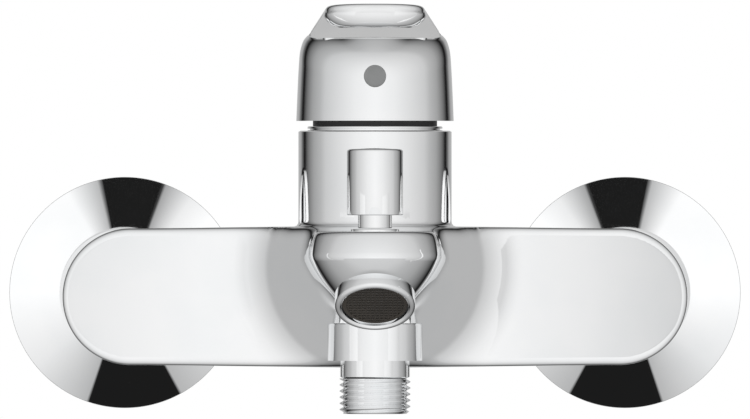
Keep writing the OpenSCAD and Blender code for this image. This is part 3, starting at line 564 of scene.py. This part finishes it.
nipple_chrome = chrome_plating("nipple chrome", 0.05)
nipple = threaded_bar(WALL_THREAD_R, NIPPLE_END, NECK_END + 0.02, 96)
nipple.location = (0, -OUTLET_Y * MM, 0)
set_in_place(nipple, "threaded_outlet_nipple")
nipple_shank = turned([(0, NECK_END), (9.2, NECK_END), (NIPPLE_NECK_R, NECK_END + 0.5),
                       (NIPPLE_NECK_R, COLLAR_GAP), (SHANK_R, COLLAR_GAP), (SHANK_R, SHANK_SHOULDER),
                       (SHANK_TIP_R, SHANK_SHOULDER), (SHANK_TIP_R, SHANK_TOP), (0, SHANK_TOP)],
                      "shank", 96, (0, -OUTLET_Y, 0))
machine(nipple, nipple_shank, "UNION")
chamfer_cut = turned([(12.2, NIPPLE_END - 0.5), (9.3, NIPPLE_END - 0.5), (9.3, NIPPLE_END),
                      (10.6, NIPPLE_END + 1.1), (12.2, NIPPLE_END + 1.1)],
                     "chamfer", 96, (0, -OUTLET_Y, 0))
machine(nipple, chamfer_cut)
machine(nipple, rod_between(7.4, (0, -OUTLET_Y, -36), (0, -OUTLET_Y, -19.3)))
machine(nipple, rod_between(5.5, (0, -OUTLET_Y, -21), (0, -OUTLET_Y, -3)))
smooth_by_angle(nipple, 35)
finish_piece(nipple, nipple_chrome, "mixer", "chrome", "shower_nipple")
coat(milky_plastic, "outlet_check_housing")
coat(black_plastic, "outlet_check_poppet")
coat(spring_steel, "outlet_check_spring")
squeeze_spring("outlet_check_spring")

# Diverter
# A chromed gland is screwed into the top of the spout and guides a brass stem with a rubber
# disc below. The round knob on the stem lifts it against a wire spring, for the shower.
GLAND_BOTTOM, FLANGE_R, GLAND_TOP, KNOB_R, KNOB_BOTTOM, KNOB_TOP = 12.5, 7.15, 30.0, 8.3, 23.2, 43.2
FLANGE_TOP, GLAND_NECK_R, GLAND_R, PULL = 19.3, 5.05, 6.9, 6.8
STEM_BORE_R, RING_GROOVE_R = 2.56, 4.05

knob_chrome = chrome_plating("knob chrome")
gland = turned(round_off(
    [(STEM_BORE_R, GLAND_BOTTOM), (GLAND_R, GLAND_BOTTOM), (GLAND_R, SPOUT_TOP), (FLANGE_R, SPOUT_TOP),
     (FLANGE_R, FLANGE_TOP - 0.25), (FLANGE_R - 0.5, FLANGE_TOP), (GLAND_NECK_R, FLANGE_TOP),
     (GLAND_NECK_R, GLAND_TOP), (STEM_BORE_R, GLAND_TOP), (STEM_BORE_R, 26.8), (RING_GROOVE_R, 26.8),
     (RING_GROOVE_R, 25.2), (STEM_BORE_R, 25.2)], {4: 0.2, 5: 0.3, 6: 0.35, 7: 0.5}),
    "diverter_gland_and_neck", 128, (0, -OUTLET_Y, 0))
smooth_by_angle(gland, 30)
finish_piece(gland, knob_chrome, "mixer", "chrome", "diverter_gland")
knob = turned(round_off(
    [(0, 41.1), (2.52, 41.1), (2.52, 30.4), (5.35, 30.4), (5.35, KNOB_BOTTOM), (KNOB_R, KNOB_BOTTOM),
     (KNOB_R, KNOB_TOP - 0.55), (KNOB_R * 0.55, KNOB_TOP - 0.12), (0, KNOB_TOP)],
    {5: 0.35, 6: 0.75, 7: 9.0}), "diverter_pull_knob", 160, (0, -OUTLET_Y, 0))
smooth_by_angle(knob, 30)
finish_piece(knob, knob_chrome, "diverter", "chrome", "diverter_knob")
# what rises in front of the drum stays out of its mirror image, and so do the inner pieces
for name in ("diverter_stem", "diverter_valve", "diverter_oring", "diverter_spring", "lever_spindle"):
    nodes[name].visible_glossy = False
gland.visible_glossy = False
knob.visible_glossy = False
turned_brass = cast_metal("turned brass", (0.62, 0.42, 0.16), (0.78, 0.58, 0.27), 0.16, 700, 0.04)
coat(turned_brass, "diverter_stem")
coat(black_rubber, "diverter_valve", "diverter_oring")
coat(spring_steel, "diverter_spring")
squeeze_spring("diverter_spring")

# Aerator
# A chromed brass housing with a rounded lip screws into the flat underside of the spout's
# nose over a rubber seal. It holds a dark plastic insert with a square mesh across its face.
AERATOR_LEAN, AERATOR_R, AERATOR_COLLAR, AERATOR_THREAD_R = math.radians(145), 11.8, 4.5, 10.9
INSERT_R, INSERT_BORE_R, INSERT_BACK = 9.65, 8.45, -0.98
MESH_PITCH, MESH_WIRE, MESH_LEVEL, MESH_CELLS = 1.3, 0.42, 3.0, 14

aerator_chrome = chrome_plating("aerator chrome")
housing = turned(round_off(
    [(9.75, 2.2), (9.75, 4.0), (10.3, AERATOR_COLLAR), (AERATOR_R, AERATOR_COLLAR), (AERATOR_R, 0.1),
     (AERATOR_THREAD_R, 0.1), (AERATOR_THREAD_R, -3.8), (8.6, -3.8), (8.6, -1), (9.75, -1)],
    {1: 0.25, 2: 0.3, 3: 1.0, 4: 0.15}), "aerator_housing_ring", 160, aerator_base, AERATOR_LEAN)
smooth_by_angle(housing, 30)
finish_piece(housing, aerator_chrome, "mixer", "chrome", "aerator_housing")
housing.visible_glossy = False

insert = turned([(INSERT_BORE_R, INSERT_BACK), (INSERT_BORE_R, 2.1), (0, 2.1), (0, 2.5),
                 (INSERT_BORE_R, 2.5), (INSERT_BORE_R, 3.3), (INSERT_R - 0.25, 3.3), (INSERT_R, 3.05),
                 (INSERT_R, INSERT_BACK)], "aerator_mesh_insert", 128, aerator_base, AERATOR_LEAN)
deselect_all()
bpy.ops.mesh.primitive_grid_add(x_subdivisions=MESH_CELLS, y_subdivisions=MESH_CELLS,
                                size=MESH_CELLS * MESH_PITCH * MM)
mesh_screen = bpy.context.object
mesh_screen.location = (0, 0, MESH_LEVEL * MM)
set_in_place(mesh_screen, "mesh_screen")
apply_modifier(mesh_screen, "WIREFRAME", thickness=MESH_WIRE * MM, use_replace=True, use_boundary=True,
               use_even_offset=True, offset=0.0)
machine(mesh_screen, rod_between(8.7, (0, 0, 0), (0, 0, 6), 128), "INTERSECT")
mesh_screen.rotation_euler = (AERATOR_LEAN, 0, 0)
mesh_screen.location = [c * MM for c in aerator_base]
machine(insert, mesh_screen, "UNION")
smooth_by_angle(insert, 30)
mesh_plastic = moulded("dark mesh plastic", (0.026, 0.021, 0.016), (0.05, 0.042, 0.034), 0.42, 500, 0.4)
finish_piece(insert, mesh_plastic, "mixer", "black_plastic", "aerator_insert")
insert.visible_glossy = False
coat(black_rubber, "aerator_seal")

# Cartridge
# White moulded housing, base, disc driver and turret, two lapped ceramic discs, rubber port
# seals, a turned brass spindle on a steel pin, and the brass nut that clamps it in the drum.
disc_ceramic = moulded("lapped ceramic", (0.8, 0.8, 0.79), (0.88, 0.88, 0.87), 0.12, 900, 0.5, 0.03)
coat(milky_plastic, "cartridge_housing", "cartridge_base", "cartridge_turret", "disc_driver")
coat(disc_ceramic, "fixed_ceramic_disc", "moving_ceramic_disc")
coat(black_rubber, "cartridge_seals")
coat(turned_brass, "cartridge_nut", "lever_spindle")
coat(spring_steel, "pivot_pin", "lever_grub_screw")

# Rings on the drum
# A thin chromed cover ring with a turned groove closes the drum round the cartridge nut, and a
# black moulded ring inside it, keyed to the cartridge, limits how hot the lever can be set.
COVER_R, COVER_TOP, LIMITER_R, NUT_TOP = 20.05, 49.6, 18.45, 47.02
LIMITER_BORE_R, LIMITER_TOP, GROOVE_DEPTH = 13.9, 54.4, 0.75

ring_chrome = chrome_plating("ring chrome")
cover_ring = turned(round_off(
    [(LIMITER_R + 0.1, NUT_TOP), (COVER_R, NUT_TOP), (COVER_R, 48.5), (COVER_R - GROOVE_DEPTH, 48.56),
     (COVER_R - GROOVE_DEPTH, 48.86), (COVER_R, 48.92), (COVER_R, COVER_TOP),
     (LIMITER_R + 0.1, COVER_TOP)],
    {5: 0.05, 6: 0.4, 7: 0.3}), "chromed_cover_ring", 160, (0, -DRUM_Y, 0))
smooth_by_angle(cover_ring, 30)
finish_piece(cover_ring, ring_chrome, "mixer", "chrome", "cover_ring")
limiter = turned(round_off(
    [(LIMITER_BORE_R, NUT_TOP), (LIMITER_R, NUT_TOP), (LIMITER_R, 51.6), (LIMITER_R - 0.7, 53.0),
     (LIMITER_R - 2.4, LIMITER_TOP), (LIMITER_BORE_R, LIMITER_TOP)],
    {2: 0.6, 3: 1.0, 4: 0.5}), "black_limiter_ring", 160, (0, -DRUM_Y, 0))
smooth_by_angle(limiter, 30)
finish_piece(limiter, black_plastic, "mixer", "black_plastic", "limiter_ring")

# Lever
# A zinc die casting, chrome plated: a round cap that drops over the cartridge and a flat
# blade that rises towards the user, with a scooped hollow for the fingertip under its root.
PIVOT_Z, LIFT = 43.0, math.radians(25)
CAP_BOTTOM, CAP_TOP, CAP_CEILING, CAP_BORE_R = 51.2, 77.3, 61.0, 20.8
SCOOP_SLOPE, SCOOP_Z = math.radians(17), 72.8
NECK_Y, NECK_Z, NECK_R, NECK_HALF_WIDTH, LEDGE = 63.6, 64.3, 14.5, 18.0, 0.4
TIP_Y, TIP_HALF_WIDTH, ROOT_HALF_WIDTH, BLADE_ROOT_Z, BLADE_TIP_Z = 142.0, 14.8, 19.8, 79.2, 85.3
RIM_DEPTH, UNDER_ROOT_Z, UNDER_TIP_Z, HULL_R = 2.7, 75.4, 78.3, 6.6
HULL_LEAN, CORNER, NOSE_LENGTH = math.radians(10), 2.4, 9.0
BLANK_HALF_WIDTH, BLANK_TAPER, HEEL_HALF_WIDTH, HEEL = 18.4, 0.72, 14.5, 14.0
SCREW_Z, SCREW_R, PLUG_R, BAR_HALF, FACE_R, PLUG_SEAT = 64.4, 2.5, 3.3, 3.4, 24.4, 20.6


def lever_distance(p):
    """The cap, scooped in front, with the blade's hull on it and the neck between the two."""
    x, z = np.abs(p[:, 0]), p[:, 2]
    ahead = -p[:, 1] - DRUM_Y
    rise = np.clip((z - CAP_BOTTOM) / 25, 0, 1.1)
    wall = np.hypot(x, ahead) - (23.38 - rise - 0.5 * rise ** 4)
    scoop = (z - SCOOP_Z + (ahead - 22.4) * math.tan(SCOOP_SLOPE)) * math.cos(SCOOP_SLOPE)
    cap = blend_max(blend_max(wall, scoop, 9.2), z - CAP_TOP, 2.4)
    cap = np.maximum(cap, 47 - z)
    neck = (np.sqrt((x / NECK_HALF_WIDTH) ** 2 + ((ahead + DRUM_Y - NECK_Y) / NECK_R) ** 2
                    + ((z - NECK_Z) / NECK_R) ** 2) - 1) * NECK_R
    along = np.clip(ahead / (TIP_Y - DRUM_Y), -0.25, 1)
    width = ROOT_HALF_WIDTH + (TIP_HALF_WIDTH - ROOT_HALF_WIDTH) * along
    top = BLADE_ROOT_Z + (BLADE_TIP_Z - BLADE_ROOT_Z) * along
    under = UNDER_ROOT_Z + (UNDER_TIP_Z - UNDER_ROOT_Z) * along
    front = np.maximum(ahead - (TIP_Y - DRUM_Y - NOSE_LENGTH), 0) / NOSE_LENGTH
    back = np.maximum(-ahead, 0) / ROOT_HALF_WIDTH
    rounding = ((x / width) ** CORNER + front ** CORNER + back ** CORNER) ** (1 / CORNER)
    plan = (rounding - 1) * NOSE_LENGTH
    lean = np.clip(np.maximum(top - RIM_DEPTH - z, 0) / HULL_R + math.sin(HULL_LEAN), 0, 0.85)
    hull = plan + HULL_R * (math.cos(HULL_LEAN) - np.sqrt(1 - lean ** 2))
    lens = np.clip((z - top + RIM_DEPTH) / 0.9, 0, 1)
    hull += LEDGE * lens * lens * (3 - 2 * lens)
    blade = blend_max(blend_max(hull, z - top, 1.6), under - z, 1.0)
    return blend_min(blend_min(cap, neck, 0.5), blade, 0.5)


cap_blank = rod_between(22.0, (0, -DRUM_Y, 47), (0, -DRUM_Y, 71.5))
cap_back = rough_block((-15, -68, 60), (15, -40, 76.5))
neck_blank = rod_between(13.5, (0, -DRUM_Y, 68), (0, -DRUM_Y, 78.0))
lever = join([cap_blank, cap_back, neck_blank], "lever_handle")
low, high = UNDER_ROOT_Z + 0.5, BLADE_ROOT_Z - 0.6
heel = rough_block((-HEEL_HALF_WIDTH, -DRUM_Y - 1, low), (HEEL_HALF_WIDTH, -DRUM_Y + HEEL, high))
machine(lever, heel, "UNION")
blade_blank = rough_block((-BLANK_HALF_WIDTH, -TIP_Y + 2, low), (BLANK_HALF_WIDTH, -DRUM_Y, high))
take(blade_blank)
bpy.ops.object.transform_apply(location=True, rotation=True, scale=True)
for corner in blade_blank.data.vertices:
    if corner.co.y < -(DRUM_Y + 10) * MM:
        under = corner.co.z < (low + high) / 2 * MM
        corner.co.x *= BLANK_TAPER
        corner.co.z += ((UNDER_TIP_Z - UNDER_ROOT_Z) if under else (BLADE_TIP_Z - BLADE_ROOT_Z)) * MM
machine(lever, blade_blank, "UNION")
apply_modifier(lever, "REMESH", mode="VOXEL", voxel_size=0.5 * MM)
draw_onto(lever, lever_distance, 10)
saw(lever, (0, 0, CAP_BOTTOM), (0, 0, -1))

# the hollow for the cartridge, the socket of the spindle, the screw and what would dip
# below the cover ring when the lever is up
machine(lever, rod_between(CAP_BORE_R, (0, -DRUM_Y, 40), (0, -DRUM_Y, CAP_CEILING), 128))
machine(lever, rough_block((-BAR_HALF - 0.05, -DRUM_Y - BAR_HALF - 0.05, CAP_CEILING - 1),
                           (BAR_HALF + 0.05, -DRUM_Y + BAR_HALF + 0.05, 71.2)))
face = (0, -DRUM_Y - FACE_R, SCREW_Z)
machine(lever, rod_between(SCREW_R + 0.05, (0, -DRUM_Y, SCREW_Z), face, 48))
machine(lever, rod_between(PLUG_R + 0.08, (0, -DRUM_Y - PLUG_SEAT, SCREW_Z), face, 64))
relief = rough_block((-25, -23.4, -16.3), (25, 46.8, 7.1))
take(relief)
bpy.ops.object.transform_apply(location=True, rotation=True, scale=True)
relief.rotation_euler = (LIFT, 0, 0)
relief.location = (0, -DRUM_Y * MM, PIVOT_Z * MM)
machine(lever, relief)
smooth_by_angle(lever, 32)
lever_chrome = chrome_plating("lever chrome")
finish_piece(lever, lever_chrome, "lever", "chrome", "lever")
lever.visible_glossy = False

# Indicator plug
# A small moulded disc of plain grey plastic with a stub behind it. It is pressed into the
# cap's front, over the grub screw that holds the lever on its bar.
PLUG_FACE, PLUG_THICK, STUB_R, STUB_LENGTH = 22.5, 1.5, 2.3, 1.5

grey_plastic = moulded("grey plastic", (0.30, 0.305, 0.305), (0.34, 0.345, 0.345), 0.42, 420,
                       0.25, 0.05)
plug_back = PLUG_FACE - PLUG_THICK
plug = turned(round_off(
    [(0, plug_back - STUB_LENGTH), (STUB_R, plug_back - STUB_LENGTH), (STUB_R, plug_back),
     (PLUG_R, plug_back), (PLUG_R, PLUG_FACE), (0, PLUG_FACE)], {4: 0.3}),
    "grey_indicator_plug", 96, (0, -DRUM_Y, SCREW_Z), FRONT)
smooth_by_angle(plug, 30)
finish_piece(plug, grey_plastic, "lever", "grey_plastic", "indicator_plug")

# Studio
# A pale floor far below, a white surround that chrome sees bright in front and dark at one
# band to the sides, a white tent with two black flags round each rosette, and a pale card in
# front of each wing. The camera stands straight in front.
bpy.ops.mesh.primitive_plane_add(size=14, location=(0, 0, -0.95))
floor = bpy.context.object
floor.name = "floor"
floor_paint = bpy.data.materials.new("pale floor")
floor_paint.use_nodes = True
floor_tree = floor_paint.node_tree
floor_tree.nodes["Principled BSDF"].inputs["Base Color"].default_value = (0.8, 0.8, 0.8, 1)
floor_tree.nodes["Principled BSDF"].inputs["Roughness"].default_value = 0.9
floor.data.materials.append(floor_paint)
floor.visible_glossy = False

# how bright the tent's cloth is by the angle round it in degrees, with two black flags on it
TENT = ((0, 245), (61, 180), (61.7, 27), (108.4, 27), (109.2, 180), (140, 230), (180, 255),
        (240, 252), (257, 180), (257.6, 27), (289.6, 27), (290.3, 160), (305, 235), (320, 255))
TENT_R, TENT_DEPTH, CHROME_SHARE = 37.5, 18.0, 0.93


def as_light(level):
    """The strength that a chrome piece shows as this level of the picture."""
    c = level / 255
    return (c / 12.92 if c <= 0.04045 else ((c + 0.055) / 1.055) ** 2.4) / CHROME_SHARE


def fill_ramp(ramp, stops, whole=1):
    """Puts stops of place, out of a whole, and level into a colour ramp."""
    while len(ramp.elements) > 1:
        ramp.elements.remove(ramp.elements[-1])
    for i, (place, level) in enumerate(stops):
        stop = ramp.elements[0] if i == 0 else ramp.elements.new(place / whole)
        stop.position = place / whole
        stop.color = (as_light(level), as_light(level), as_light(level), 1)


for side, label in ((-1, "left"), (1, "right")):
    glow = bpy.data.materials.new("light tent " + label)
    glow.use_nodes = True
    tree = glow.node_tree
    tree.nodes.clear()
    spot = tree.nodes.new("ShaderNodeTexCoord")
    turn = tree.nodes.new("ShaderNodeMapping")
    turn.inputs["Scale"].default_value = (side, 1, 1)
    turn.inputs["Rotation"].default_value = (-FRONT, 0, 0)
    turn.inputs["Location"].default_value = (-INLET_X * MM, 0, 0)
    around = tree.nodes.new("ShaderNodeTexGradient")
    around.gradient_type = "RADIAL"
    tones = tree.nodes.new("ShaderNodeValToRGB")
    fill_ramp(tones.color_ramp, TENT, 360)
    lamp = tree.nodes.new("ShaderNodeEmission")
    result = tree.nodes.new("ShaderNodeOutputMaterial")
    tree.links.new(spot.outputs["Object"], turn.inputs["Vector"])
    tree.links.new(turn.outputs["Vector"], around.inputs["Vector"])
    tree.links.new(around.outputs["Fac"], tones.inputs["Fac"])
    tree.links.new(tones.outputs["Color"], lamp.inputs["Color"])
    tree.links.new(lamp.outputs[0], result.inputs["Surface"])
    deselect_all()
    bpy.ops.mesh.primitive_cylinder_add(vertices=128, radius=TENT_R * MM, depth=TENT_DEPTH * MM,
                                        end_fill_type="NOTHING", rotation=(FRONT, 0, 0),
                                        location=(side * INLET_X * MM, -9.5 * MM, 0))
    tent = set_in_place(bpy.context.object, "light_tent_" + label)
    tent.data.materials.append(glow)
    for way in ("camera", "diffuse", "shadow", "transmission"):
        setattr(tent, "visible_" + way, False)

# pale cards in front of the wings, which chrome alone shows: greyer towards the ends
CARD_END, CARD_GREY_END = 125, 98
WING_CARDS = (("left", -1, 56, ((0, 244), (1, 230))),
              ("right", 1, 38, ((0, 243), (0.5, 230), (1, 210))))
for label, side, inner, stops in WING_CARDS:
    paint = bpy.data.materials.new("wing card " + label)
    paint.use_nodes = True
    tree = paint.node_tree
    tree.nodes.clear()
    spot = tree.nodes.new("ShaderNodeTexCoord")
    apart = tree.nodes.new("ShaderNodeSeparateXYZ")
    share_out = tree.nodes.new("ShaderNodeMapRange")
    share_out.inputs["From Min"].default_value = side * inner * MM
    share_out.inputs["From Max"].default_value = side * CARD_GREY_END * MM
    tones = tree.nodes.new("ShaderNodeValToRGB")
    fill_ramp(tones.color_ramp, stops)
    lamp = tree.nodes.new("ShaderNodeEmission")
    result = tree.nodes.new("ShaderNodeOutputMaterial")
    tree.links.new(spot.outputs["Object"], apart.inputs[0])
    tree.links.new(apart.outputs["X"], share_out.inputs["Value"])
    tree.links.new(share_out.outputs["Result"], tones.inputs["Fac"])
    tree.links.new(tones.outputs["Color"], lamp.inputs["Color"])
    tree.links.new(lamp.outputs[0], result.inputs["Surface"])
    near, far = sorted((side * inner, side * CARD_END))
    card = rough_block((near, -161, -26), (far, -160, 24))
    set_in_place(card, "wing_card_" + label)
    card.data.materials.append(paint)
    for way in ("camera", "diffuse", "shadow", "transmission"):
        setattr(card, "visible_" + way, False)

world = bpy.data.worlds.new("studio")
bpy.context.scene.world = world
world.use_nodes = True
wt = world.node_tree
wt.nodes.clear()
out = wt.nodes.new("ShaderNodeOutputWorld")
mix = wt.nodes.new("ShaderNodeMixShader")
plain = wt.nodes.new("ShaderNodeBackground")
plain.inputs["Color"].default_value = (1, 1, 1, 1)
mirrored = wt.nodes.new("ShaderNodeBackground")
path = wt.nodes.new("ShaderNodeLightPath")
place = wt.nodes.new("ShaderNodeTexCoord")
facing = wt.nodes.new("ShaderNodeVectorMath")
facing.operation = "DOT_PRODUCT"
facing.inputs[1].default_value = (0, -1, 0)
angle = wt.nodes.new("ShaderNodeMath")
angle.operation = "ARCCOSINE"
share = wt.nodes.new("ShaderNodeMath")
share.operation = "DIVIDE"
share.inputs[1].default_value = math.pi
ramp = wt.nodes.new("ShaderNodeValToRGB")
# how bright the surround is by the angle from straight in front, in degrees
SURROUND = ((0, 245), (30, 235), (60, 215), (80, 200), (90, 180), (105, 160), (120, 115), (131, 28),
            (135, 28), (143, 110), (150, 160), (165, 180), (180, 185))
fill_ramp(ramp.color_ramp, SURROUND, 180)
wt.links.new(place.outputs["Generated"], facing.inputs[0])
wt.links.new(facing.outputs["Value"], angle.inputs[0])
wt.links.new(angle.outputs[0], share.inputs[0])
wt.links.new(share.outputs[0], ramp.inputs["Fac"])
wt.links.new(ramp.outputs["Color"], mirrored.inputs["Color"])
wt.links.new(path.outputs["Is Glossy Ray"], mix.inputs["Fac"])
wt.links.new(plain.outputs[0], mix.inputs[1])
wt.links.new(mirrored.outputs[0], mix.inputs[2])
wt.links.new(mix.outputs[0], out.inputs["Surface"])

CAMERA_FAR, CAMERA_HEIGHT, VIEW_WIDTH, VIEW_PLANE = 5.8, 0.0249, 0.22365, 0.035
camera_data = bpy.data.cameras.new("camera")
camera = bpy.data.objects.new("camera", camera_data)
bpy.context.scene.collection.objects.link(camera)
bpy.context.scene.camera = camera
camera.location = (0, -CAMERA_FAR, CAMERA_HEIGHT)
camera.rotation_euler = (FRONT, 0, 0)
camera_data.sensor_width = 36
camera_data.lens = camera_data.sensor_width * (CAMERA_FAR - VIEW_PLANE) / VIEW_WIDTH
camera_data.clip_end = 60
bpy.context.scene.view_settings.view_transform = "Standard"
